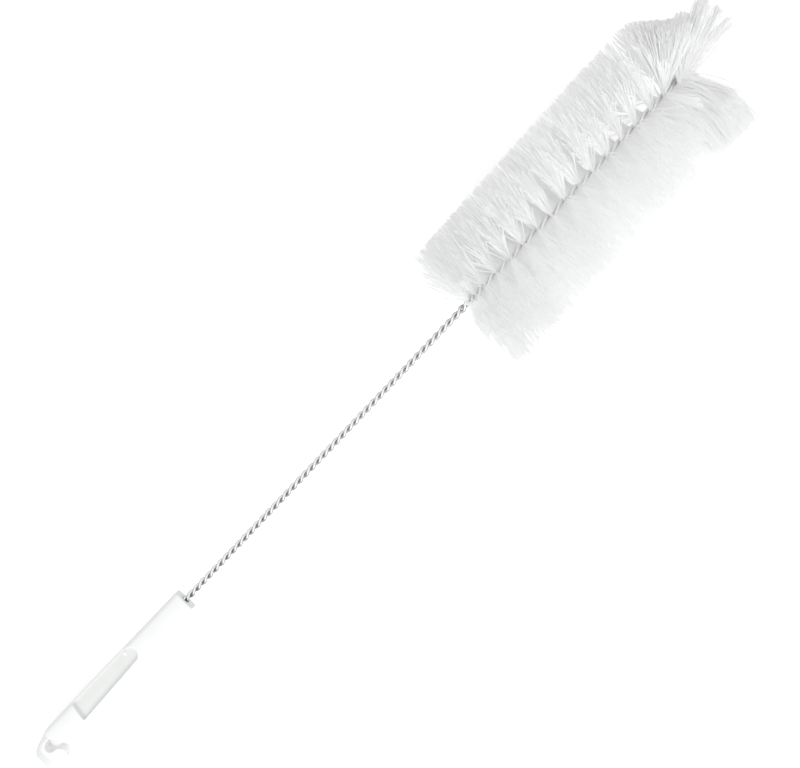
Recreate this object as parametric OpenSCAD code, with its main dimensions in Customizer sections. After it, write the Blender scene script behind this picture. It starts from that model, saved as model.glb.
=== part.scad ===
// Bottle brush: bristles held in a twisted wire, with a moulded plastic handle that ends in a hook.
//
// The brush is drawn along X. x = 0 is the mouth of the handle's socket, the handle lies toward -X and
// the bristle head toward +X, and the hook opens toward -Y. The whole is then laid on the table, where
// it rests on the near rim of its bristles and on the end of its handle.
//
// Along the head, s is the distance from the first bristle. The wire's twist is counted in turns: 0 at
// the end of the twist and negative before it, so the nose always leaves the twist the same way round.

/* [Wire] */
// Diameter of the wire
strand_d = 1.3; // [1.0:0.05:1.6]
// Bare twisted stem between the handle and the first bristle
stem_l = 162; // [100:1:260]
// Length of one full turn in the stem
stem_pitch = 7.1; // [6.5:0.1:9]
// Length of one full turn in the head
head_pitch = 14.8; // [13:0.1:18]
// Twisted wire inside the handle
socket_depth = 24; // [12:1:25]
// Radius of the bend that turns the nose aside
nose_bend_r = 3; // [2.5:0.1:5]
// Angle of that bend
nose_bend = 70; // [0:5:80]
// Straight wire between the bend and the end loop
nose_l = 1; // [0.5:0.1:3]

/* [Bristle head] */
// Length of wire that grips bristles
head_l = 116.2; // [80:0.1:180]
// Diameter of the head at the stem
near_d = 56; // [40:1:70]
// Diameter of the head where the fan starts
far_d = 60.4; // [40:0.2:74]
// Length of the fan's bristles at the nose
fan_l = 30.5; // [20:0.5:36]
// Forward lean of the last bristles on the handle's straight side
fan_lean_back = 63; // [40:1:70]
// Forward lean of the last bristles on the hook's side
fan_lean_front = 18; // [5:1:60]
// Scatter of the fan's leans, to either side
fan_scatter = 14; // [0:1:16]
// Backward lean of the bristles on the hook's side
side_lean = 7; // [0:0.5:10]
// Thickness of the bristles pressed flat between the two strands
core_t = 0.44; // [0.4:0.02:0.6]
// Width of a bristle tuft at its end
tuft_w = 0.75; // [0.4:0.05:0.9]
// How far the lowest bristles give under the weight of the brush
press = 0.4; // [0:0.1:1]

/* [Handle] */
// Length from the socket mouth to the end of the hook
handle_l = 92; // [86:1:120]
// Thickness along the middle
handle_t = 6; // [5:0.2:7]
// Radius of the crowned faces
crown_r = 20; // [15:1:60]
// Radius of the rounded end of the hook, seen from the side
end_r = 3.6; // [3.6:0.1:6]
// Width from the wire's axis to the straight edge
straight_w = 4.9; // [4:0.1:6]
// Width from the axis to the flared edge, at the socket
flare_top_w = 4.5; // [3.5:0.1:6]
// Width from the axis to the flared edge, at the lip over the hook
flare_lip_w = 7.8; // [6.5:0.1:9]
// Thickness of the web between the two panels
web_t = 2.2; // [1.2:0.1:3]
// Slope of the panels' floors across the handle
panel_slope = 4; // [0:0.5:5]
// Distance from the socket mouth to the panels
panel_start = 26.7; // [26:0.1:34]
// Length of the panels
panel_l = 37.4; // [25:0.1:38]
// Rim between a panel and the flared edge
flare_rim = 3.5; // [2:0.1:4]
// Rim between a panel and the straight edge
straight_rim = 0.7; // [0.6:0.1:2]
// Radius of a panel's rounded corner
panel_corner_r = 3; // [1.5:0.1:3]
// Diameter of the pip in a panel
pip_d = 1.4; // [1:0.1:2]

/* [Hook] */
// Distance from the end of the hook to the lip
lip_l = 17; // [16:0.1:20]
// Radius of the hook's outer curve
hook_r = 7.2; // [6.5:0.1:8]
// Distance from the wire's axis to the centre of that curve
hook_off = 4; // [3:0.1:4.5]
// Clear width of the mouth between the lip and the prong
mouth_w = 5.6; // [5:0.1:6]
// Width of the pocket behind the prong
pocket_w = 4.6; // [4.2:0.1:5]
// Wall between the pocket and the end of the hook
hook_wall = 6.1; // [5:0.1:7]
// Wall between the pocket and the straight edge
neck_w = 3.7; // [3:0.1:4.5]
// Width of the prong
prong_w = 5.8; // [5:0.1:6.5]

/* [Hidden] */
$fn = 96;

// Running clearances
twist_gap = 0.03;
core_gap = 0.04;
socket_gap = 0.05;
split_gap = 0.3;

// Twist: the stem's tight turns open into the head's long ones over blend_l
blend_l = 14.5;
spread_l = 6;
stem_rings = 10;
head_rings = 12;
stem_rate = 1 / stem_pitch;
head_rate = 1 / head_pitch;
rate_slope = (stem_rate - head_rate) / blend_l;
blend_turns = (blend_l - head_l) * head_rate;
first_turns = blend_turns - blend_l * (stem_rate + head_rate) / 2;
socket_turns = first_turns - (stem_l + socket_depth) * stem_rate;

// Strands: a hexagon with the same area as the round wire, its flats toward and away from the axis
strand_sides = 6;
strand_r = strand_d / 2 * sqrt(PI / (strand_sides / 2 * sin(360 / strand_sides)));
stem_off = strand_d / 2 + twist_gap;
head_off = strand_d / 2 + core_t / 2 + core_gap;
nose_steps = 6;
loop_steps = 8;

// Bristles: rows of tufts on both edges of a flat core that is gripped between the strands
rows_per_turn = 20;
columns = 3;
column_spread = 360 / rows_per_turn / columns;
core_w = head_off + strand_d / 2 + 0.05;
fan_rows = 15;
fan_turns = fan_rows / rows_per_turn;
fan_start = head_l - fan_turns * head_pitch;
body_rows = floor(-first_turns * rows_per_turn) - fan_rows;
near_lean = 4;
near_l = 4;
length_spread = 0.8;
body_scatter = 3.5;
length_dice = rands(-1, 1, 4096, 11);
lean_dice = rands(-1, 1, 4096, 12);

// Rest: the near rim of the bristles and the heel, where the hook's rounded end starts, touch the table
rim_lean = side_lean / 2 + near_lean;
rim_x = stem_l - (near_d / 2 - core_w) * sin(rim_lean);
rim_r = core_w + (near_d / 2 - core_w) * cos(rim_lean) + length_spread - press;
heel_x = -handle_l + end_r - sqrt(end_r * end_r - handle_t * handle_t / 4);
tilt = atan2(rim_r - handle_t / 2, rim_x - heel_x);
lift = handle_t / 2 * cos(tilt) - heel_x * sin(tilt);
reach = stem_l + head_l + fan_l * sin(fan_lean_back + fan_scatter);
middle = (reach - handle_l) / 2 * cos(tilt);

// Handle: a straight edge runs a little way inside the arc that it meets, so the two share an edge
nib = 0.04;
edge_slope = (flare_lip_w - flare_top_w) / (handle_l - lip_l);
lip_x = lip_l - handle_l;
pocket_top = straight_w - neck_w;
pocket_x = hook_wall + pocket_w / 2 - handle_l;
prong_top = pocket_top - pocket_w;
prong_x = lip_x - mouth_w - prong_w / 2;
toe_r = prong_w - prong_top - hook_off;
throat_run = 6.5;
lip_round = 1.2;
bore_r = strand_d + twist_gap + socket_gap;
panel_x = -panel_start - panel_corner_r - 2.1;
panel_end = -panel_start - panel_l;
panel_skew = 1.2;
pip_h = 0.3;
far = 30;

// ---- Twist ----

// Distance along the head at a given number of turns
function along(t) =
    t >= blend_turns ? head_l + t * head_pitch
    : t >= first_turns
    ? blend_l - (sqrt(head_rate * head_rate + 2 * rate_slope * (blend_turns - t)) - head_rate) / rate_slope
    : (t - first_turns) * stem_pitch;

// Angle of the twist, left-handed, and the directions across and along the gripped bristles
function twist(t) = 90 + 360 * t;
function across(a) = [0, cos(a), -sin(a)];
function out(a) = [0, sin(a), cos(a)];
function ease(u) = u <= 0 ? 0 : u >= 1 ? 1 : u * u * (3 - 2 * u);
function unit(v) = v / norm(v);

// ---- Rest ----

function laid(p) = [
    p.x * cos(tilt) - p.z * sin(tilt) - middle,
    p.y,
    p.x * sin(tilt) + p.z * cos(tilt) + lift
];
function on_table(p) = [p.x, p.y, max(p.z, 0)];

module lay_down() {
    translate([-middle, 0, lift]) rotate([0, -tilt, 0]) children();
}

// ---- Handle ----

// The flared edge at a place along the handle
function flare(x) = -flare_top_w + x * edge_slope;

// Where a tangent from point p touches a circle, on its far side seen from +X
function touch(centre, r, p) =
    let (v = p - centre, a = atan2(v.y, v.x) + acos(r / norm(v)))
    centre + r * [cos(a), sin(a)];

module handle_outline() {
    hook_c = [hook_r - handle_l, -hook_off];
    shoulder = [lip_x - lip_l / 4, straight_w];
    polygon([
        [0, straight_w], shoulder, touch(hook_c, hook_r - nib, shoulder), hook_c,
        [lip_x, -hook_off], [lip_x, flare(lip_x)], [0, flare(0)]
    ]);
    difference() {
        translate(hook_c) circle(hook_r);
        translate(hook_c - [hook_r, 2 * hook_r]) square(2 * hook_r);
    }
    translate([toe_r - handle_l, -hook_off]) circle(toe_r);
}

module hook_slot() {
    translate([pocket_x, pocket_top - pocket_w / 2]) circle(pocket_w / 2);
    polygon([
        [pocket_x, pocket_top - nib], [lip_x - throat_run, pocket_top - nib],
        [lip_x - lip_round, lip_round - hook_off], [lip_x, -hook_off],
        [lip_x, -far], [pocket_x, -far]
    ]);
}

module prong() {
    translate([prong_x, prong_top - prong_w / 2]) circle(prong_w / 2);
    translate([toe_r - handle_l, prong_top - prong_w + nib])
        square([prong_x + handle_l - toe_r, prong_w - 2 * nib]);
}

module panel_outline() {
    corner = [panel_x, flare(panel_x) + flare_rim + panel_corner_r];
    start = [-panel_start, straight_w - straight_rim];
    polygon([
        start, [panel_end, start.y], [panel_end - panel_skew, flare(panel_end) + flare_rim],
        corner + [0, nib - panel_corner_r], corner,
        2 * corner - touch(corner, panel_corner_r - nib, 2 * corner - start)
    ]);
    translate(corner) circle(panel_corner_r);
}

// A panel sunk into the upper face, with its pip
module panel() {
    translate([0, 0, web_t / 2]) rotate([-panel_slope, 0, 0]) difference() {
        linear_extrude(handle_t) panel_outline();
        translate([-panel_start - 7, straight_w - 2, 0]) cylinder(h = pip_h, d = pip_d);
    }
}

// One crowned face: a wide cylinder, low for the upper face and high for the lower one
module crowned_face(side) {
    translate([-handle_l - 1, (straight_w - flare_lip_w) / 2, side * (crown_r - handle_t / 2)])
        rotate([0, 90, 0]) cylinder(h = handle_l + 2, r = crown_r);
}

// Everything within the rounded end, seen from the side
module rounded_end() {
    translate([end_r - handle_l, far, 0]) rotate([90, 0, 0]) linear_extrude(2 * far) {
        circle(end_r);
        translate([0, -end_r]) square([handle_l, 2 * end_r]);
    }
}

module handle() {
    color("white") lay_down() difference() {
        intersection() {
            translate([0, 0, -handle_t]) linear_extrude(2 * handle_t) {
                difference() {
                    handle_outline();
                    hook_slot();
                }
                prong();
            }
            crowned_face(-1);
            crowned_face(1);
            rounded_end();
        }
        panel();
        mirror([0, 0, 1]) panel();
        translate([-socket_depth, 0, 0]) rotate([0, 90, 0]) cylinder(h = socket_depth + 1, r = bore_r);
    }
}

// ---- Wire ----

// Each place on the wire is its centre and the direction away from the twist's axis
function strand_place(t, side) =
    let (
        s = along(t),
        off = stem_off + (head_off - stem_off) * ease(1 + s / spread_l),
        away = side * across(twist(t))
    )
    [[stem_l + s, 0, 0] + off * away, away];

// The nose's axis: an arc toward the hook's side, then straight
function nose_axis(u) =
    let (a = nose_bend * min(u, 1), run = nose_l * max(u - 1, 0))
    [
        stem_l + head_l + nose_bend_r * sin(a) + run * cos(a),
        -nose_bend_r * (1 - cos(a)) - run * sin(a),
        0
    ];
function nose_place(u, side) = [nose_axis(u) + [0, 0, -side * head_off], [0, 0, -side]];
function loop_place(a) =
    let (away = cos(a) * [0, 0, -1] + sin(a) * [cos(nose_bend), -sin(nose_bend), 0])
    [nose_axis(2) + head_off * away, away];

function wire_half(side) = concat(
    [for (i = [ceil((socket_turns - first_turns) * stem_rings) : 0])
        strand_place(first_turns + i / stem_rings, side)],
    [for (i = [floor(first_turns * head_rings) + 1 : 0]) strand_place(i / head_rings, side)],
    [for (i = [1 : nose_steps]) nose_place(i / nose_steps, side)]
);

function reversed(list) = [for (i = [len(list) - 1 : -1 : 0]) list[i]];

wire_path = concat(
    wire_half(1),
    [for (i = [0 : loop_steps]) loop_place(180 * i / loop_steps)],
    reversed(wire_half(-1))
);

function strand_ring(i) =
    let (
        last = len(wire_path) - 1,
        place = wire_path[i],
        run = unit(wire_path[min(i + 1, last)][0] - wire_path[max(i - 1, 0)][0]),
        away = unit(place[1] - (place[1] * run) * run),
        aside = cross(run, away)
    )
    [for (k = [0 : strand_sides - 1])
        let (a = 360 * (k + 0.5) / strand_sides)
        place[0] + strand_r * (cos(a) * away + sin(a) * aside)];

// A quad as two triangles, the skin between two rings of point numbers, and the triangles of a polygon
function halves(a, b, c, d) = [[a, b, c], [a, c, d]];
function skin(near, next) = [for (k = [0 : len(near) - 1])
    let (m = (k + 1) % len(near))
    each halves(near[k], next[k], next[m], near[m])];
function fan(ring) = [for (k = [1 : len(ring) - 2]) [ring[0], ring[k], ring[k + 1]]];

// A strand's skin: the flat toward the axis is split the other way, so that the twist dents it and
// leaves room for what lies beside it, where the other flats swell
function strand_skin(near, next) = [for (k = [0 : strand_sides - 1])
    let (m = (k + 1) % strand_sides)
    each k == strand_sides / 2 - 1
    ? halves(near[m], near[k], next[k], next[m])
    : halves(near[k], next[k], next[m], near[m])];
function ring_numbers(i) = [for (k = [0 : strand_sides - 1]) i * strand_sides + k];

module wire() {
    last = len(wire_path) - 1;
    color("silver") lay_down() polyhedron(
        points = [for (i = [0 : last]) each strand_ring(i)],
        faces = concat(
            fan(ring_numbers(0)),
            [for (i = [0 : last - 1]) each strand_skin(ring_numbers(i), ring_numbers(i + 1))],
            fan(reversed(ring_numbers(last)))
        )
    );
}

// ---- Bristles ----

// Lean toward the nose of a bristle at s that points in direction dir, with its own throw of the dice
function lean(s, dir, dice) =
    let (
        back = (1 + dir.y) / 2,
        fan_u = max(s - fan_start, 0) / (head_l - fan_start),
        near_u = max(near_l - s, 0) / near_l,
        rest = -side_lean * (1 - back) - near_lean * near_u * near_u + body_scatter * dice,
        splay = fan_lean_front + (fan_lean_back - fan_lean_front) * back + fan_scatter * dice
    )
    rest + (splay - rest) * fan_u;

function bristle_l(s) =
    s < fan_start
    ? (near_d + (far_d - near_d) * s / fan_start) / 2 - core_w
    : far_d / 2 - core_w + (fan_l - far_d / 2 + core_w) * (s - fan_start) / (head_l - fan_start);

// Points across the core at one station: one edge, the other edge, then the middle of each face
function core_points(t) =
    let (
        a = twist(t),
        axis = [stem_l + along(t), 0, 0]
    )
    concat(
        [for (side = [1, -1], k = [0 : columns])
            axis + side * core_w * out(a) + (k / columns - 0.5) * core_t * across(a)],
        [for (face = [1, -1]) axis + face * core_t / 2 * across(a)]
    );

// The four corners of a tuft's end, in the order back, front, front, back
function tuft_end(t, side, k, dice) =
    let (
        a = twist(t),
        s = along(t),
        turn = column_spread * (k - (columns - 1) / 2),
        dir = side * cos(turn) * out(a) + sin(turn) * across(a),
        aside = cos(turn) * across(a) - side * sin(turn) * out(a),
        tip = lean(s, dir, lean_dice[dice]),
        length = bristle_l(s) + length_spread * length_dice[dice],
        root = [stem_l + s, 0, 0] + side * core_w * out(a),
        forward = cos(tip) * [1, 0, 0] - sin(tip) * dir,
        centre = root + length * (cos(tip) * dir + sin(tip) * [1, 0, 0])
    )
    [for (c = [[-1, -1], [1, -1], [1, 1], [-1, 1]])
        centre + tuft_w / 2 * (c.x * forward + c.y * aside)];

// One closed solid: the core with a tuft on each cell of its two edges
module bristles(first, last, rows, first_dice) {
    per = 2 * (columns + 1) + 2;
    ends = (rows + 1) * per;
    step = (last - first) / rows;
    function edge(i, e, k) = i * per + e * (columns + 1) + k;
    function middle_of(i, face) = i * per + 2 * (columns + 1) + face;
    function tuft_number(i, e, k) = (i * 2 + e) * columns + k;

    // A tuft's root follows the same order as its end, and the other edge runs the other way round
    function tuft(i, e, k) =
        let (
            root = [edge(i, e, k), edge(i + 1, e, k), edge(i + 1, e, k + 1), edge(i, e, k + 1)],
            end = [for (c = [0 : 3]) ends + 4 * tuft_number(i, e, k) + c],
            near = e == 0 ? root : reversed(root),
            next = e == 0 ? end : reversed(end)
        )
        concat(skin(near, next), fan(reversed(next)));

    // The core's two faces, each as two strips beside its middle line, split so that the twist thins them
    function face_strips(i) = concat(
        halves(middle_of(i + 1, 0), edge(i + 1, 0, columns), edge(i, 0, columns), middle_of(i, 0)),
        halves(edge(i + 1, 1, columns), middle_of(i + 1, 0), middle_of(i, 0), edge(i, 1, columns)),
        halves(middle_of(i, 1), edge(i, 0, 0), edge(i + 1, 0, 0), middle_of(i + 1, 1)),
        halves(edge(i, 1, 0), middle_of(i, 1), middle_of(i + 1, 1), edge(i + 1, 1, 0))
    );

    // The core's cut end: strips between its two edges
    function end_strips(i) = concat(
        [[edge(i, 1, 0), edge(i, 1, 1), middle_of(i, 1)],
         [middle_of(i, 1), edge(i, 1, 1), edge(i, 0, 1)],
         [middle_of(i, 1), edge(i, 0, 1), edge(i, 0, 0)]],
        [for (k = [1 : columns - 2])
            each halves(edge(i, 1, k), edge(i, 1, k + 1), edge(i, 0, k + 1), edge(i, 0, k))],
        [[edge(i, 1, columns - 1), edge(i, 1, columns), middle_of(i, 0)],
         [edge(i, 1, columns - 1), middle_of(i, 0), edge(i, 0, columns - 1)],
         [edge(i, 0, columns - 1), middle_of(i, 0), edge(i, 0, columns)]]
    );

    core = [for (i = [0 : rows]) each core_points(first + i * step)];
    tufts = [for (i = [0 : rows - 1], e = [0, 1], k = [0 : columns - 1])
        each tuft_end(first + (i + 0.5) * step, 1 - 2 * e, k, first_dice + tuft_number(i, e, k))];

    color("whitesmoke") polyhedron(
        points = [for (p = concat(core, tufts)) on_table(laid(p))],
        faces = concat(
            [for (i = [0 : rows - 1], e = [0, 1], k = [0 : columns - 1]) each tuft(i, e, k)],
            [for (i = [0 : rows - 1]) each face_strips(i)],
            end_strips(0),
            [for (f = end_strips(rows)) reversed(f)]
        )
    );
}

module body_bristles() {
    last = -fan_turns;
    bristles(last - body_rows / rows_per_turn, last, body_rows, 0);
}

module tip_bristles() {
    bristles(split_gap / head_pitch - fan_turns, 0, fan_rows, 3000);
}

handle();
wire();
body_bristles();
tip_bristles();
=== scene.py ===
import math

import bpy
import numpy as np
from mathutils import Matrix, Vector


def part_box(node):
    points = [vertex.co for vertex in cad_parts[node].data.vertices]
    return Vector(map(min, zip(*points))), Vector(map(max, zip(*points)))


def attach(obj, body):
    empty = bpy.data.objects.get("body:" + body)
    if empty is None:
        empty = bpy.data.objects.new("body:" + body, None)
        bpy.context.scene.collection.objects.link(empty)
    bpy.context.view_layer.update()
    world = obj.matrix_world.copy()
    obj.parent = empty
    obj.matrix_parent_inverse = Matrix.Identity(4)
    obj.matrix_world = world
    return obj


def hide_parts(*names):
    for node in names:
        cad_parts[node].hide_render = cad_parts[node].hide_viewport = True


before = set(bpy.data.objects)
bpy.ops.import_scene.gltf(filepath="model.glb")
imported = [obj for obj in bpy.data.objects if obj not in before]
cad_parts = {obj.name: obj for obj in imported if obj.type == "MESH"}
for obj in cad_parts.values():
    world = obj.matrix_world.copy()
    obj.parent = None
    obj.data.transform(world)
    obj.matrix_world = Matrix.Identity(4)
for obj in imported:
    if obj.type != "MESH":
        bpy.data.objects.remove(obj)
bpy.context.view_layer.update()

bpy.ops.object.select_all(action="DESELECT")

# ---------------------------------------------------------------- sizes, in millimetres and degrees

MM = 0.001

# Wire
strand_d = 1.3
stem_l = 162.0
stem_pitch = 7.1
head_pitch = 14.8
socket_depth = 24.0
nose_bend_r = 3.0
nose_bend = math.radians(70)
nose_l = 1.0
twist_gap = 0.03
core_t = 0.44
core_gap = 0.04
core_proud = 0.05
blend_l = 14.5
spread_l = 6.0

# Bristles of the head
head_l = 116.2
near_d = 56.0
far_d = 60.4
side_lean = 7.0
near_lean = 4.0
near_l = 4.0
body_scatter = 10.0
body_parting = 0.14
table_parting = 0.6
spread_share = 0.4
length_spread = 0.8
front_extra = 2.0
back_trim = 0.7
notch_depth = 7.0
notch_x = 13.5
notch_w = 3.2
press = 0.4

# Fan of bristles at the tip
fan_turns = 0.75
fan_l = 30.5
fan_reach_lean = 77.0
fan_lean_front = 7.0
fan_bulge = 3.6
fan_parting = 0.5
sheet_lean = 48.0
sheet_share = 0.52
tuft_lean = 54.0
tuft_end_lean = 101.0
tuft_l = 27.0
cut_slope = 0.89
cut_reach = 26.8

# Handle
handle_l = 92.0
handle_t = 6.0
end_r = 3.6
straight_w = 4.9
web_t = 2.2
panel_start = 26.7
panel_l = 37.4
panel_slope = 4
hook_r = 7.2
hook_off = 4.0

stem_rate = 1 / stem_pitch
head_rate = 1 / head_pitch
rate_slope = (stem_rate - head_rate) / blend_l
blend_turns = (blend_l - head_l) * head_rate
first_turns = blend_turns - blend_l * (stem_rate + head_rate) / 2
socket_turns = first_turns - (stem_l + socket_depth) * stem_rate
stem_off = strand_d / 2 + twist_gap
head_off = strand_d / 2 + core_t / 2 + core_gap
core_w = head_off + strand_d / 2 + core_proud
fan_start = head_l - fan_turns * head_pitch
hook_x = hook_r - handle_l

# The brush rests on the near rim of its bristles and on the heel of its hook
rim_lean = math.radians(side_lean / 2 + near_lean)
rim_x = stem_l - (near_d / 2 - core_w) * math.sin(rim_lean)
rim_r = core_w + (near_d / 2 - core_w) * math.cos(rim_lean) + length_spread - press
heel_x = -handle_l + end_r - math.sqrt(end_r * end_r - handle_t * handle_t / 4)
tilt = math.atan2(rim_r - handle_t / 2, rim_x - heel_x)
lift = handle_t / 2 * math.cos(tilt) - heel_x * math.sin(tilt)
reach = stem_l + head_l + fan_l * math.sin(math.radians(fan_reach_lean))
middle = (reach - handle_l) / 2 * math.cos(tilt)


def laid(p):
    """Points drawn along the brush, laid on the table, in metres."""
    p = np.asarray(p, float)
    return np.stack([
        p[..., 0] * math.cos(tilt) - p[..., 2] * math.sin(tilt) - middle,
        p[..., 1],
        p[..., 0] * math.sin(tilt) + p[..., 2] * math.cos(tilt) + lift,
    ], -1) * MM


def drawn(points):
    """Laid points in metres, back in the brush's own millimetres."""
    x = points[:, 0] / MM + middle
    z = points[:, 2] / MM - lift
    return np.stack([
        x * math.cos(tilt) + z * math.sin(tilt),
        points[:, 1] / MM,
        z * math.cos(tilt) - x * math.sin(tilt),
    ], -1)


def along(t):
    """Distance along the head at a given number of turns."""
    t = np.asarray(t, float)
    root = np.sqrt(np.maximum(head_rate ** 2 + 2 * rate_slope * (blend_turns - t), 0))
    in_blend = blend_l - (root - head_rate) / rate_slope
    in_stem = (t - first_turns) * stem_pitch
    return np.where(t >= blend_turns, head_l + t * head_pitch,
                    np.where(t >= first_turns, in_blend, in_stem))


def twist(t):
    """Angle of the twist at a given number of turns."""
    return math.pi / 2 + 2 * math.pi * np.asarray(t, float)


def across(a):
    """Direction from one strand to the other."""
    return np.stack([0 * a, np.cos(a), -np.sin(a)], -1)


def out(a):
    """Direction out between the strands."""
    return np.stack([0 * a, np.sin(a), np.cos(a)], -1)


def ease(u):
    """A soft step from nought to one."""
    u = np.clip(u, 0, 1)
    return u * u * (3 - 2 * u)


# ---------------------------------------------------------------- camera

camera_x = 122.0
camera_side = -2.6
camera_height = 368.0
camera_turn = -46.42
camera_lens = 42.75
camera_sensor = 36

camera_data = bpy.data.cameras.new("camera")
camera = bpy.data.objects.new("camera", camera_data)
bpy.context.scene.collection.objects.link(camera)
camera_data.lens = camera_lens
camera_data.sensor_width = camera_sensor
below = laid([camera_x, 0, 0])
camera.location = (below[0], camera_side * MM, below[2] + camera_height * MM)
camera.rotation_euler = (0, 0, math.radians(camera_turn))
bpy.context.scene.camera = camera

# ---------------------------------------------------------------- materials

white = (1, 1, 1, 1)
steel_dull = (0.86, 0.86, 0.86, 1)
steel_bright = (0.97, 0.97, 0.96, 1)
# Painted reflection: the dark that the wire's edges are painted with
steel_painted_edge = (0.46, 0.46, 0.46, 1)
steel_gloss = (0.4, 0.4, 0.4, 1)
# Nylon tones: random per filament, lifted toward the bright one as painted light
nylon_dull = (0.965, 0.969, 0.963, 1)
nylon_bright = (0.999, 1.0, 0.999, 1)
# Grey for painted shade and random streaks on the bristles
nylon_shade_and_streak_grey = (0.5, 0.5, 0.5, 1)
thick_plastic = (0.88, 0.885, 0.88, 1), (0.92, 0.92, 0.91, 1)
# Grey of the panel's thin floor, also used for painted shade on the handle's lip, edge, hook end
# and flanks
thin_and_shaded_plastic = (0.74, 0.755, 0.735, 1), (0.80, 0.81, 0.79, 1)
table_white = (0.97, 0.97, 0.97, 1)
grain_depth = 0.05


def make_grain_group():
    """Grain of a surface: its pattern, the roughness that follows it, and its fine relief."""
    group = bpy.data.node_groups.new("surface_grain", "ShaderNodeTree")
    group.interface.new_socket("Place", in_out="INPUT", socket_type="NodeSocketVector")
    for name in ("Scale", "Detail", "Smoothest", "Roughest", "Relief"):
        group.interface.new_socket(name, in_out="INPUT", socket_type="NodeSocketFloat")
    for name in ("Grain", "Roughness"):
        group.interface.new_socket(name, in_out="OUTPUT", socket_type="NodeSocketFloat")
    group.interface.new_socket("Normal", in_out="OUTPUT", socket_type="NodeSocketVector")
    given = group.nodes.new("NodeGroupInput")
    made = group.nodes.new("NodeGroupOutput")
    noise = group.nodes.new("ShaderNodeTexNoise")
    rough = group.nodes.new("ShaderNodeMapRange")
    bump = group.nodes.new("ShaderNodeBump")
    bump.inputs["Distance"].default_value = grain_depth * MM
    for source, target in (
        (given.outputs["Place"], noise.inputs["Vector"]),
        (given.outputs["Scale"], noise.inputs["Scale"]),
        (given.outputs["Detail"], noise.inputs["Detail"]),
        (given.outputs["Smoothest"], rough.inputs["To Min"]),
        (given.outputs["Roughest"], rough.inputs["To Max"]),
        (given.outputs["Relief"], bump.inputs["Strength"]),
        (noise.outputs["Fac"], rough.inputs["Value"]),
        (noise.outputs["Fac"], bump.inputs["Height"]),
        (noise.outputs["Fac"], made.inputs["Grain"]),
        (rough.outputs["Result"], made.inputs["Roughness"]),
        (bump.outputs["Normal"], made.inputs["Normal"]),
    ):
        group.links.new(source, target)
    return group


grain_group = make_grain_group()


def add_grain(tree, **values):
    """The grain of one material, with its own values, on the piece's own coordinates."""
    coord = tree.nodes.new("ShaderNodeTexCoord")
    grain = tree.nodes.new("ShaderNodeGroup")
    grain.node_tree = grain_group
    tree.links.new(coord.outputs["Object"], grain.inputs["Place"])
    for name, value in values.items():
        grain.inputs[name].default_value = value
    return grain.outputs


def add_ramp(tree, value, colours, low=0, high=1):
    """A colour that runs from the first to the second as a value goes from low to high."""
    ramp = tree.nodes.new("ShaderNodeValToRGB")
    for element, position, colour in zip(ramp.color_ramp.elements, (low, high), colours):
        element.position = position
        element.color = colour
    tree.links.new(value, ramp.inputs["Fac"])
    return ramp.outputs["Color"]


def add_mix(tree, blend, factor, first):
    """A mix of two colours. The second, B, is given by the material."""
    mix = tree.nodes.new("ShaderNodeMix")
    mix.data_type = "RGBA"
    mix.blend_type = blend
    tree.links.new(factor, mix.inputs["Factor"])
    tree.links.new(first, mix.inputs["A"])
    return mix


def add_written(tree, name):
    """A value that is written at each point of a piece."""
    value = tree.nodes.new("ShaderNodeAttribute")
    value.attribute_name = name
    return value.outputs["Fac"]


def new_material(name):
    mat = bpy.data.materials.new(name)
    mat.use_nodes = True
    return mat, mat.node_tree, mat.node_tree.nodes["Principled BSDF"]


def make_steel():
    """Bright galvanised wire in fine blotches, with a painted dark reflection along its edges where
    it is bare.
    """
    mat, tree, shader = new_material("wire_steel")
    grain = add_grain(tree, Scale=900, Detail=3, Smoothest=0.22, Roughest=0.42, Relief=0.15)
    tone = add_ramp(tree, grain["Grain"], (steel_dull, steel_bright), low=0.3, high=0.75)
    # Painted reflection: the metal's colour darkens toward the edges that turn away from the view
    facing = tree.nodes.new("ShaderNodeLayerWeight")
    facing.inputs["Blend"].default_value = 0.5
    edge = add_ramp(tree, facing.outputs["Facing"], (white, steel_painted_edge), low=0.06, high=0.34)
    painted_edge_shade = add_mix(tree, "MULTIPLY", add_written(tree, "bare"), tone)
    tree.links.new(edge, painted_edge_shade.inputs["B"])
    tree.links.new(painted_edge_shade.outputs["Result"], shader.inputs["Base Color"])
    tree.links.new(grain["Roughness"], shader.inputs["Roughness"])
    tree.links.new(grain["Normal"], shader.inputs["Normal"])
    shader.inputs["Metallic"].default_value = 1
    shader.inputs["Specular Tint"].default_value = steel_gloss
    return mat


def make_nylon():
    """White nylon filament in random tones, paler with painted light near the wire and on the
    hook's side, and greyer with painted shade away from the wire and with random streaks.
    """
    mat, tree, shader = new_material("bristle_nylon")
    grain = add_grain(tree, Scale=1500, Detail=2, Smoothest=0.35, Roughest=0.55)
    tone_and_painted_light = add_written(tree, "tone_and_painted_light")
    tone = add_ramp(tree, tone_and_painted_light, (nylon_dull, nylon_bright), low=0.2, high=0.55)
    # Painted shade and random streaks grey the nylon
    greyer = add_mix(tree, "MULTIPLY", add_written(tree, "painted_shade_and_streaks"), tone)
    greyer.inputs["B"].default_value = nylon_shade_and_streak_grey
    tree.links.new(greyer.outputs["Result"], shader.inputs["Base Color"])
    tree.links.new(grain["Roughness"], shader.inputs["Roughness"])
    return mat


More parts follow.
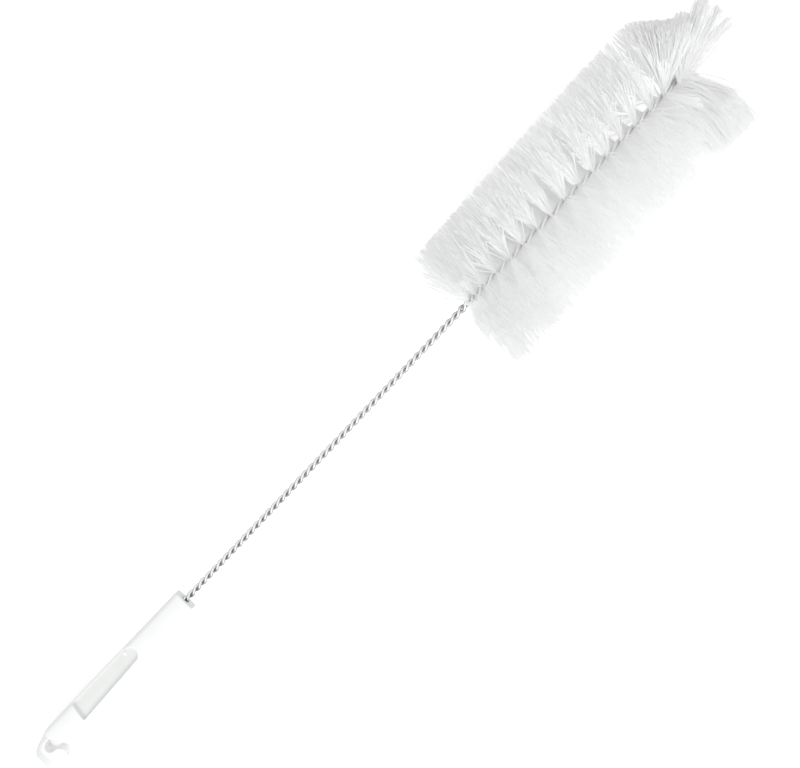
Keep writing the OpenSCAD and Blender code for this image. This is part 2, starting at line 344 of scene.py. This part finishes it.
def make_plastic():
    """White moulded plastic, greyer on the panel's thin floor, and with painted shade on the
    panel's lip, along the upper edge, on the hook's end and on faces that turn away from above.
    """
    mat, tree, shader = new_material("handle_plastic")
    grain = add_grain(tree, Scale=120, Detail=4, Smoothest=0.28, Roughest=0.42)
    fine = add_grain(tree, Scale=1800, Detail=2, Relief=0.08)
    thick = add_ramp(tree, grain["Grain"], thick_plastic)
    thin_and_shaded_tone = add_ramp(tree, grain["Grain"], thin_and_shaded_plastic)
    tone = add_mix(tree, "MIX", add_written(tree, "web"), thick)
    tree.links.new(thin_and_shaded_tone, tone.inputs["B"])
    tree.links.new(tone.outputs["Result"], shader.inputs["Base Color"])
    tree.links.new(grain["Roughness"], shader.inputs["Roughness"])
    tree.links.new(fine["Normal"], shader.inputs["Normal"])
    return mat


steel = make_steel()
nylon = make_nylon()
plastic = make_plastic()

# ---------------------------------------------------------------- meshes


def select_only(obj):
    bpy.ops.object.select_all(action="DESELECT")
    obj.select_set(True)
    bpy.context.view_layer.objects.active = obj


def read_points(mesh, what="co"):
    """Place or normal of each point of a mesh."""
    values = np.zeros(len(mesh.vertices) * 3, np.float32)
    mesh.vertices.foreach_get(what, values)
    return values.reshape(-1, 3).astype(float)


def write_values(obj, name, values):
    """One value at each point of a piece, for its material to read."""
    layer = obj.data.attributes.new(name, "FLOAT", "POINT")
    layer.data.foreach_set("value", values.astype(np.float32))


def dress(obj, material):
    obj.data.materials.clear()
    obj.data.materials.append(material)


# ---------------------------------------------------------------- handle

merge_gap = 0.002
skin_voxel = 0.26
soften_strength = 0.5
soften_rounds = 6

# Places where the handle is greyer: the panel's thin floor, with painted shade that deepens toward
# the upper edge, and its upper lip, in painted shade
panel_over = 1.4
panel_low = -6.7
floor_over = 0.5
floor_soft = 0.25
floor_margin = 0.7
floor_least = 0.2
floor_low = -5.0
floor_rise = 9.0
lip_w = 1.1
lip_soft = 0.5
pip_x = 7.0
pip_drop = 2.0
pip_r = 0.8

# Painted shade in a band along the upper edge that widens round the hook's end
band_w = 2.0
band_extra = 2.5
band_rise = 6.0
band_strength = 1.5
band_low = 5.0
band_soft = 3.0
hook_front = 3.0
hook_end = 2.4
hook_end_soft = 0.8

# Painted shade on the flanks, apart from the walls inside the panel and the hook
flank_turn = 0.85
flank_soft = 0.5
wall_w = 1.0
wall_low = -5.5


def in_panel(x, y):
    return (x < -panel_start) & (x > -panel_start - panel_l - panel_over) & (y > panel_low)


def grey_panel(x, y, z):
    """One on the panel's thin floor, with a painted shade that fades toward its lower wall, one on
    its upper lip as painted shade, and nought on its pip.
    """
    floor_z = web_t / 2 - y * math.sin(math.radians(panel_slope))
    floor = np.clip((floor_z + floor_over - np.abs(z)) / floor_soft, 0, 1)
    floor = floor * (y < straight_w - floor_margin)
    # Painted shade: the floor's grey fades out toward the lower wall
    floor = floor * np.clip(floor_least + (y - floor_low) / floor_rise, 0, 1)
    # Painted shade on the upper lip
    lip = ease((y - straight_w + lip_w) / lip_soft)
    off_pip = np.hypot(x + panel_start + pip_x, y - straight_w + pip_drop) > pip_r
    return in_panel(x, y) * off_pip * np.maximum(floor, lip)


def painted_shade_band(x, y):
    """Painted shade: one along the handle's upper edge and on the hook's end."""
    from_edge = np.where(x < hook_x + hook_front,
                         hook_r - np.hypot(x - hook_x, y + hook_off), straight_w - y)
    width = band_w + band_extra * ease((hook_x - x) / band_rise)
    band = np.clip(band_strength * (1 - from_edge / width), 0, 1)
    band = band * np.clip((y + hook_off + band_low) / band_soft, 0, 1)
    return np.maximum(band, ease((hook_x - hook_end - x) / hook_end_soft))


def painted_shade_flanks(x, y, turn):
    """Painted shade: one on the outer faces that turn away from above. turn is one on a level face.
    """
    in_hook = np.hypot(x - hook_x, y + hook_off) < hook_r - wall_w
    in_hook = in_hook & (y > y.min() + wall_w)
    inner = (in_panel(x, y) & (y < straight_w - wall_w) & (y > wall_low)) | in_hook
    return ease((flank_turn - turn) / flank_soft) * ~inner


def make_handle():
    """The handle's solid, with its edges softened."""
    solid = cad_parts["handle"]
    handle = bpy.data.objects.new("moulded_handle", solid.data.copy())
    bpy.context.scene.collection.objects.link(handle)
    select_only(handle)
    bpy.ops.object.mode_set(mode="EDIT")
    bpy.ops.mesh.select_all(action="SELECT")
    bpy.ops.mesh.remove_doubles(threshold=merge_gap * MM)
    bpy.ops.object.mode_set(mode="OBJECT")
    skin = handle.modifiers.new("skin", "REMESH")
    skin.mode = "VOXEL"
    skin.voxel_size = skin_voxel * MM
    soften = handle.modifiers.new("soften", "SMOOTH")
    soften.factor = soften_strength
    soften.iterations = soften_rounds
    bpy.ops.object.modifier_apply(modifier="skin")
    bpy.ops.object.modifier_apply(modifier="soften")
    bpy.ops.object.shade_smooth()
    x, y, z = drawn(read_points(handle.data)).T
    turn = np.abs(read_points(handle.data, "normal")[:, 2])
    # The grey mask: the panel's thin floor, and painted shade on its lip, the upper edge band, the
    # hook's end and the flanks
    edges = np.maximum(painted_shade_band(x, y), painted_shade_flanks(x, y, turn))
    write_values(handle, "web", np.maximum(grey_panel(x, y, z), edges))
    dress(handle, plastic)
    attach(handle, "root")
    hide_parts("handle")


make_handle()

# ---------------------------------------------------------------- tubes

wire_sides = 14
filament_sides = 4


def tubes(name, paths, radius, sides):
    """Round wires along paths of points in metres, as one mesh."""
    curve = bpy.data.curves.new(name, "CURVE")
    curve.dimensions = "3D"
    curve.bevel_depth = radius * MM
    # A round bevel has four sides, and two more for each step of its resolution
    curve.bevel_resolution = (sides - 4) // 2
    curve.use_fill_caps = True
    for path in paths:
        spline = curve.splines.new("POLY")
        spline.points.add(len(path) - 1)
        spline.points.foreach_set("co", np.hstack([path, np.ones((len(path), 1))]).ravel())
    obj = bpy.data.objects.new(name, curve)
    bpy.context.scene.collection.objects.link(obj)
    select_only(obj)
    bpy.ops.object.convert(target="MESH")
    if sides == filament_sides:
        bpy.ops.object.shade_flat()
    else:
        bpy.ops.object.shade_smooth()
    return bpy.context.view_layer.objects.active


# ---------------------------------------------------------------- wire

stem_rings = 28
head_rings = 36
bend_rings = 8
loop_rings = 16
bare_fade = 6.0


def strand(t, side):
    """The middle of one strand, along the stem and the head."""
    s = along(t)
    off = stem_off + (head_off - stem_off) * ease(1 + s / spread_l)
    centre = np.stack([stem_l + s, 0 * s, 0 * s], -1)
    return centre + side * off[:, None] * across(twist(t))


def nose_axis(u):
    """The middle line of the nose: round its bend from 0 to 1, and straight on from 1 to 2."""
    a = nose_bend * np.minimum(u, 1)
    run = nose_l * np.maximum(u - 1, 0)
    return np.stack([
        stem_l + head_l + nose_bend_r * np.sin(a) + run * np.cos(a),
        -nose_bend_r * (1 - np.cos(a)) - run * np.sin(a),
        0 * a,
    ], -1)


def wire_path():
    """The whole wire, up one strand, round the loop at the nose and back down the other."""
    stem_steps = int((first_turns - socket_turns) * stem_rings)
    head_steps = int(-first_turns * head_rings)
    stem_t = np.linspace(socket_turns, first_turns, stem_steps)
    turns = np.concatenate([stem_t, np.linspace(first_turns, 0, head_steps)[1:]])
    bend = np.linspace(0, 1, bend_rings + 1)[1:]
    halves = []
    for side in (1, -1):
        nose = nose_axis(bend) + [0, 0, -side * head_off]
        halves.append(np.vstack([strand(turns, side), nose]))
    a = np.linspace(0, math.pi, loop_rings + 1)[:, None]
    forward = np.array([math.cos(nose_bend), -math.sin(nose_bend), 0])
    loop = nose_axis(np.array([2.0])) + head_off * (np.cos(a) * [0, 0, -1] + np.sin(a) * forward)
    return np.vstack([halves[0], loop, halves[1][::-1]])


wire = tubes("twisted_wire", [laid(wire_path())], strand_d / 2, wire_sides)
wire_x = drawn(read_points(wire.data))[:, 0]
# How much painted dark edge reflection the wire gets: all of it on the bare stem, fading out into
# the head
write_values(wire, "bare", 1 - ease((wire_x - stem_l) / bare_fade))
dress(wire, steel)
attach(wire, "root")
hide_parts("wire")

# ---------------------------------------------------------------- bristles

rng = np.random.default_rng(7)
loose_rng = np.random.default_rng(11)

filament_r = 0.14
body_count = 3100
tip_count = 1400
near_count = 110
near_w = 2.5
turn_steps = 4000
arm_steps = np.array([0.06, 0.14, 0.28, 0.45, 0.63, 0.82, 1.0])

# Directions and leans, in degrees
root_scatter = 2.5
turn_scatter = 13.0
fan_turn_scatter = 10.0
near_lean_hook = 13.0
near_lean_far = -8.0
fan_scatter = 8.0
fan_haste = 0.75
far_from, far_soft = 0.3, 0.4
bunches = 3
bunch_spread = 0.55
cut_margin = 3.0

# Lengths and bends
extra_share = 0.6
fan_extra = 1.4
shorter, longer = -0.6, 0.5
side_stretch = 0.9
grip_slack = 0.16
bow_spread = 0.35
root_pull = 0.55

# Tufts whose filaments lean alike
tufts_per_turn = 16
tuft_weight = 0.4
single_weight = 0.8

# A few stray filaments that lean back at the near end, on the hook's side
stray_back = 0.35
stray_share = 0.16
stray_lean = -11.0
stray_scatter = 5.0
stray_cut = 0.66


def fan_share(s):
    """Nought before the fan starts, and one at the nose."""
    return np.maximum(s - fan_start, 0) / (head_l - fan_start)


def far_share(back):
    """Nought on the hook's side of the fan and one on the other, with a soft middle."""
    return ease((back - far_from) / far_soft)


def parted(direction, fan_u):
    """Directions drawn to the two sides: the bristles part over the wire and spread below."""
    theta = np.arctan2(direction[:, 2], np.abs(direction[:, 1]))
    spread = (direction[:, 2] < 0) & (rng.uniform(0, 1, len(theta)) < spread_share)
    parting = np.where(spread, table_parting * rng.uniform(0, 1, len(theta)), body_parting)
    theta = theta * (1 - parting - (fan_parting - parting) * fan_u)
    return np.stack([
        0 * theta,
        np.sign(direction[:, 1]) * np.cos(theta),
        np.sin(theta),
    ], -1)


def lean_law(s, back, dice):
    """Lean toward the nose, in degrees. back is nought on the hook's side and one on the other."""
    near_u = np.maximum(near_l - s, 0) / near_l
    near = (near_lean_hook + (near_lean_far - near_lean_hook) * back) * near_u
    rest = -side_lean * (1 - back) + near + body_scatter * dice
    u = (1 + dice) / 2
    sheet = sheet_lean * u / sheet_share
    v = bunches * (u - sheet_share) / (1 - sheet_share)
    bunch = np.clip(np.floor(v), 0, bunches - 1)
    in_bunch = bunch + 0.5 + bunch_spread * (v - bunch - 0.5)
    tuft = tuft_lean + (tuft_end_lean - tuft_lean) * in_bunch / bunches
    splay_back = np.where(u < sheet_share, sheet, tuft)
    splay_front = fan_lean_front + fan_scatter * dice
    splay = splay_front + (splay_back - splay_front) * far_share(back)
    return rest + (splay - rest) * fan_share(s) ** (1 - fan_haste * far_share(back))


def bristle_l(s, back, lean):
    """Length of an arm outside the strands."""
    fan_u = fan_share(s)
    body = (near_d + (far_d - near_d) * s / fan_start) / 2 - core_w
    body = body + front_extra * (1 - back) * np.maximum(1 - s / (extra_share * head_l), 0)
    full = np.where(s < fan_start, body, far_d / 2 - core_w)
    full = full - back_trim * back + fan_extra * fan_u * (1 - back)
    notch = np.exp(-((s - head_l + notch_x) / notch_w) ** 2)
    full = full - notch_depth * (1 - back) * notch
    angle = np.radians(lean)
    cut = cut_reach - core_w - cut_slope * (s - head_l)
    cut = cut / (np.cos(angle) + cut_slope * np.sin(angle))
    cut = np.where(lean < tuft_lean - cut_margin, np.minimum(full, cut), tuft_l)
    return full + (cut - full) * (fan_u > 0) * far_share(back)


def arms(t, side, tuft_dice):
    """One arm of every filament: its root, its gate between the strands and its points outwards."""
    n = len(t)
    a = twist(t) + rng.normal(0, math.radians(root_scatter), n)
    s = along(t)
    fan_u = fan_share(s)
    turn = rng.normal(0, 1, n) * np.radians(turn_scatter + fan_turn_scatter * fan_u)
    direction = side * np.cos(turn)[:, None] * out(a) + np.sin(turn)[:, None] * across(a)
    direction = parted(direction, fan_u)
    back = (1 + direction[:, 1]) / 2
    dice = np.clip(tuft_weight * tuft_dice + single_weight * rng.uniform(-1, 1, n), -1, 1)
    lean = lean_law(s, back, dice)
    length = bristle_l(s, back, lean) + length_spread * rng.uniform(shorter, longer, n)
    stretch = 1 / np.clip(np.abs(direction[:, 1]), side_stretch, 1) - 1
    length = length * (1 + stretch * (1 - back) * (1 - fan_u))
    stray = (back < stray_back) & (s < near_w) & (loose_rng.uniform(0, 1, n) < stray_share)
    lean = np.radians(np.where(stray, stray_lean + stray_scatter * dice, lean))
    length = np.where(stray, length * stray_cut, length)
    root = np.stack([stem_l + s, 0 * s, 0 * s], -1)
    root = root + rng.uniform(-grip_slack, grip_slack, n)[:, None] * across(twist(t))
    aim = np.cos(lean)[:, None] * direction + np.sin(lean)[:, None] * [1, 0, 0]
    bow = rng.normal(0, bow_spread, (n, 3))
    bow[:, 0] += fan_bulge * fan_u * (1 - back)
    outward = side * out(twist(t))
    gate = root + core_w * outward
    points = []
    for u in arm_steps:
        straight = gate + (length * u)[:, None] * aim
        early = (1 - u) ** 2 * u * length * root_pull
        points.append(straight + early[:, None] * (outward - aim) + bow * 4 * u * (1 - u))
    return root, gate, points


def filament_paths(t):
    """Paths of filaments from one end to the other, through the strands, on the table."""
    groups = np.floor(t * tufts_per_turn).astype(int)
    groups = groups - groups.min()
    tufts = rng.uniform(-1, 1, (2, groups.max() + 1))
    root, gate_a, arm_a = arms(t, 1, tufts[0][groups])
    _, gate_b, arm_b = arms(t, -1, tufts[1][groups])
    chain = arm_b[::-1] + [gate_b, root, gate_a] + arm_a
    paths = laid(np.stack(chain, 1))
    paths[..., 2] = np.maximum(paths[..., 2], filament_r * MM)
    return paths


# ---------------------------------------------------------------- shades of the bristles, with painted light and painted shade

# Shades of single filaments, and of fine and broad groups: groups in a turn, and their weight
single_shade = 0.3
shade_groups = ((34, 0.3), (7, 0.4))
streak_from, streak_soft = 0.5, 0.4

# Painted light: the hook's side of the head and the filaments near the wire are made the palest
half_w = 30.0
painted_light_share = 0.9
painted_light_r = 15.0

# Painted shade that sets in away from the wire, with the broad random streaks, and how much less of
# it there is on the hook's side
painted_shade_all, painted_shade_all_less = 0.03, 0.02
streak_grey, streak_grey_less = 0.08, 0.03
# Painted shade on the near half, at the near end, on the fan's far side and at the outer ends on
# the hook's side
painted_shade_half, half_l = 0.05, 50.0
painted_shade_near, near_fade = 0.08, 16.0
painted_shade_fan, fan_fade = 0.12, 8.0
painted_shade_from, painted_shade_soft = 8.0, 20.0
painted_shade_ends, ends_from, ends_soft = 0.04, 18.0, 9.0


def filament_shades(t):
    """A shade for every filament, and the broad streaks that run through its neighbours."""
    shades = single_shade * rng.uniform(0, 1, len(t))
    for per_turn, weight in shade_groups:
        groups = np.floor(t * per_turn).astype(int)
        groups = groups - groups.min()
        coarse = rng.uniform(0, 1, groups.max() + 1)[groups]
        shades = shades + weight * coarse
    return shades, ease((coarse - streak_from) / streak_soft)


def shade_filaments(obj, t):
    """Write at each point the filaments' random tone with painted light, and their painted shade
    with random streaks.
    """
    per_filament = len(obj.data.vertices) // len(t)
    shades, streak = (np.repeat(values, per_filament) for values in filament_shades(t))
    x, y, z = drawn(read_points(obj.data)).T
    s = x - stem_l
    far_off = np.linalg.norm(np.stack([np.maximum(s - head_l, 0), y, z]), axis=0)
    hook_side = np.clip(0.5 - y / half_w, 0, 1)
    # Painted light: paler near the wire, where shade falls among the filaments, and on the hook's
    # side, where the light falls
    painted_light = np.maximum(painted_light_share * (1 - ease(far_off / painted_light_r)), painted_light_share * hook_side)
    write_values(obj, "tone_and_painted_light", shades + (1 - shades) * painted_light)
    # Painted shade: greyer away from the wire, on the near half and end and on the fan's far side,
    # less on the hook's side; the streaks are random
    depth = painted_shade_all - painted_shade_all_less * hook_side + painted_shade_half * np.clip(1 - s / half_l, 0, 1)
    depth = depth + (streak_grey - streak_grey_less * hook_side) * streak
    depth = depth + painted_shade_near * ease(1 - s / near_fade)
    depth = depth + painted_shade_fan * (1 - hook_side) * np.clip((s - fan_start) / fan_fade, 0, 1)
    ends = painted_shade_ends * hook_side * ease((far_off - ends_from) / ends_soft)
    write_values(obj, "painted_shade_and_streaks", depth * ease((far_off - painted_shade_from) / painted_shade_soft) + ends)


def filament_piece(name, t, node):
    """Filaments at the given turns, held inside their solid's box."""
    low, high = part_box(node)
    margin = filament_r * MM
    paths = np.clip(filament_paths(t), np.array(low) + margin, np.array(high) - margin)
    obj = tubes(name, list(paths), filament_r, filament_sides)
    shade_filaments(obj, t)
    dress(obj, nylon)
    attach(obj, "root")
    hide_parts(node)


body_last = -fan_turns
near_s = rng.uniform(0, near_w, near_count)
body_s = np.sort(np.append(rng.uniform(0, along(body_last), body_count - near_count), near_s))
grid_t = np.linspace(first_turns, body_last, turn_steps)
body_t = np.interp(body_s, along(grid_t), grid_t)
body_parts = ("near", "middle", "far")
for part, share in zip(body_parts, np.array_split(body_t, len(body_parts))):
    filament_piece("body_bristles_" + part, share, "body_bristles")
tip_t = np.sort(rng.uniform(body_last, 0, tip_count))
filament_piece("tip_fan_bristles", tip_t, "tip_bristles")

# ---------------------------------------------------------------- floor and light

# Sizes and places here are in metres
table_w = 6
table_roughness = 0.9
table_glow = 0.24
window_side = (-0.45, -0.78, 0.42)
room_dim = 0.46
room_bright = 1.25
key_place = (-0.62, -0.5, 0.55)
key_size = 0.5
key_energy = 1.8
key_colour = (0.9, 0.96, 1)


def seen_directly(tree):
    """One where the camera, a reflection or a clear material sees it, nought where it lights."""
    path = tree.nodes.new("ShaderNodeLightPath")
    gloss = tree.nodes.new("ShaderNodeMath")
    gloss.operation = "ADD"
    seen = tree.nodes.new("ShaderNodeMath")
    seen.operation = "ADD"
    seen.use_clamp = True
    tree.links.new(path.outputs["Is Camera Ray"], gloss.inputs[0])
    tree.links.new(path.outputs["Is Glossy Ray"], gloss.inputs[1])
    tree.links.new(gloss.outputs["Value"], seen.inputs[0])
    tree.links.new(path.outputs["Is Transmission Ray"], seen.inputs[1])
    return seen.outputs["Value"]


def make_floor():
    """A white table that glows a little where it is seen, so that it looks white."""
    bpy.ops.mesh.primitive_plane_add(size=table_w, location=(0, 0, 0))
    floor = bpy.context.view_layer.objects.active
    floor.name = "table"
    mat, tree, shader = new_material("table_white")
    shader.inputs["Base Color"].default_value = table_white
    shader.inputs["Roughness"].default_value = table_roughness
    shader.inputs["Specular IOR Level"].default_value = 0.0
    shader.inputs["Emission Color"].default_value = white
    glow = tree.nodes.new("ShaderNodeMath")
    glow.operation = "MULTIPLY"
    glow.inputs[1].default_value = table_glow
    tree.links.new(seen_directly(tree), glow.inputs[0])
    tree.links.new(glow.outputs["Value"], shader.inputs["Emission Strength"])
    dress(floor, mat)


def make_world():
    """A white room that is brighter on its window side, and plain white where it is seen."""
    world = bpy.data.worlds.new("studio")
    bpy.context.scene.world = world
    world.use_nodes = True
    nodes, links = world.node_tree.nodes, world.node_tree.links
    background = nodes["Background"]
    background.inputs["Color"].default_value = white
    coord = nodes.new("ShaderNodeTexCoord")
    toward = nodes.new("ShaderNodeVectorMath")
    toward.operation = "DOT_PRODUCT"
    toward.inputs[1].default_value = window_side
    links.new(coord.outputs["Generated"], toward.inputs[0])
    room = nodes.new("ShaderNodeMapRange")
    room.inputs["From Min"].default_value = -1
    room.inputs["To Min"].default_value = room_dim
    room.inputs["To Max"].default_value = room_bright
    links.new(toward.outputs["Value"], room.inputs["Value"])
    level = nodes.new("ShaderNodeMix")
    level.inputs["B"].default_value = 1.0
    links.new(seen_directly(world.node_tree), level.inputs["Factor"])
    links.new(room.outputs["Result"], level.inputs["A"])
    links.new(level.outputs["Result"], background.inputs["Strength"])


def make_key():
    """A soft round lamp that points at the brush."""
    lamp = bpy.data.lights.new("key", "AREA")
    lamp.shape = "DISK"
    lamp.size = key_size
    lamp.energy = key_energy
    lamp.color = key_colour
    key = bpy.data.objects.new("key", lamp)
    bpy.context.scene.collection.objects.link(key)
    key.location = key_place
    key.rotation_euler = (-Vector(key_place)).to_track_quat("-Z", "Y").to_euler()


make_floor()
make_world()
make_key()
bpy.context.scene.view_settings.view_transform = "Standard"
bpy.context.scene.cycles.diffuse_bounces = 32
bpy.context.scene.cycles.glossy_bounces = 12
bpy.context.scene.cycles.max_bounces = 32
